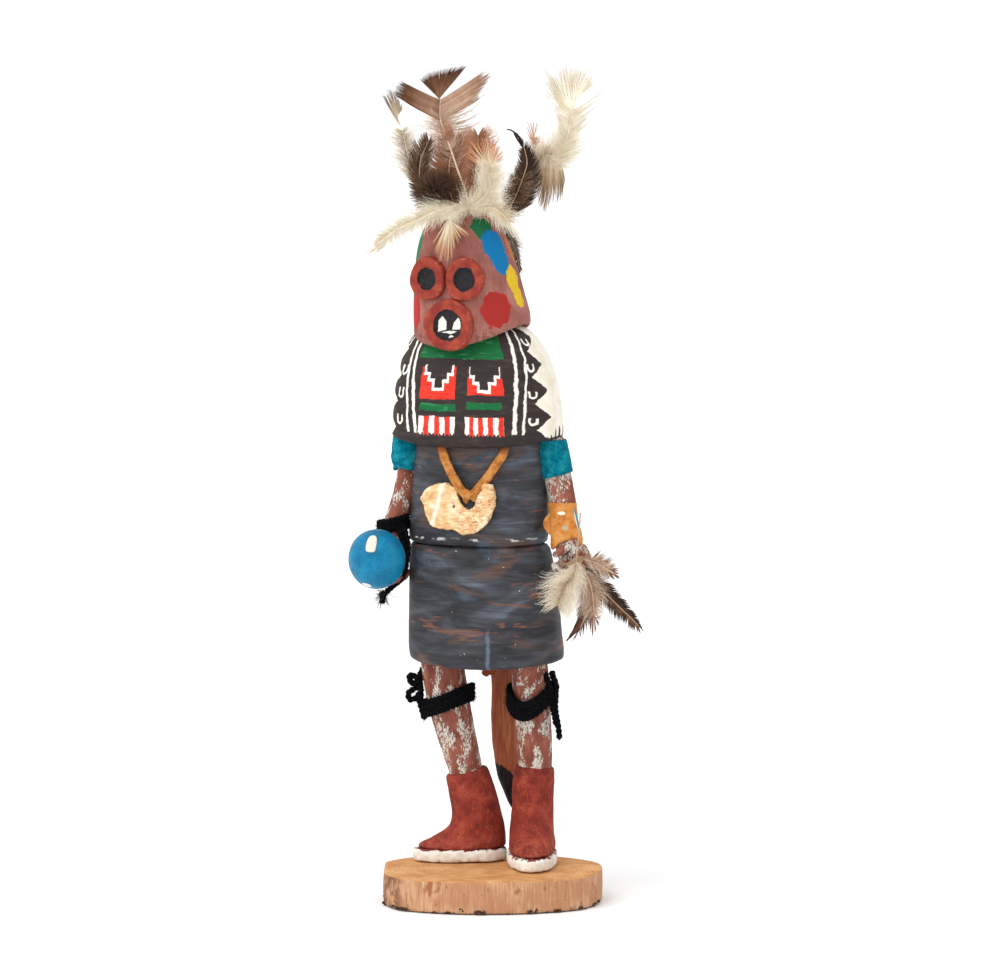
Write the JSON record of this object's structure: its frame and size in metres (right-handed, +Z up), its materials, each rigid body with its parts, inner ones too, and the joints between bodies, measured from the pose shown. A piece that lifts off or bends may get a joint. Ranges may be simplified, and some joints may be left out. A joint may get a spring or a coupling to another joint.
{
  "type": "kachina doll",
  "caption": "Carved and painted wooden kachina figure with ringed eyes and mouth, patterned blanket, dark dress, boots, feather crest, rattle, shell pendant and fox pelt, on a wood slice base",
  "frame": {"origin": "on the underside of the base, straight below the middle of the skirt's hem", "axes": "+Z up, the doll faces -Y and its right hand is at -X"},
  "size_m": [0.1107, 0.0695, 0.3346],
  "materials": {
    "barked_wood": "sawn, unpainted",
    "painted_wood": "matte hand paint in several colours",
    "red_wood": "satin red-brown paint, black bores",
    "skin_wood": "matte brown with white dabs",
    "blue_wood": "satin blue paint",
    "felt": "wool felt",
    "leather": "tan, matte",
    "suede": "suede strip",
    "wool": "black worsted yarn",
    "shell": "mottled natural shell",
    "fur": "short fur, black tip",
    "brown_feather": "soft barred brown",
    "cream_feather": "soft cream down",
    "dark_feather": "soft dark brown"
  },
  "bodies": {
    "root": {"base": "barked_wood", "figure": "painted_wood", "eye_ring_right": "red_wood", "eye_ring_left": "red_wood", "mouth_ring": "red_wood", "arm_right": "skin_wood", "arm_left": "skin_wood", "rattle": "blue_wood", "armband_right": "felt", "armband_left": "felt", "wrist_guard": "leather", "wrist_yarn": "wool", "garter_right": "wool", "garter_left": "wool", "necklace_thong": "suede", "shell_pendant": "shell", "fox_pelt": "fur", "feather_tuft": "dark_feather", "feather_crest": "brown_feather", "feather_grey": "brown_feather", "feather_smoke": "dark_feather", "feather_brown": "brown_feather", "feather_umber": "brown_feather", "feather_fan": "cream_feather", "feather_sweep": "cream_feather", "feather_brow": "cream_feather", "feather_cream": "cream_feather", "feather_horn": "dark_feather", "feather_white": "cream_feather", "feather_droop": "cream_feather", "feather_spike": "brown_feather", "feather_nape": "dark_feather", "hand_feather_quill": "cream_feather", "hand_feather_dark": "dark_feather", "hand_feather_down": "brown_feather", "hand_feather_pale": "brown_feather", "hand_feather_side": "brown_feather"}
  },
  "joints": []
}
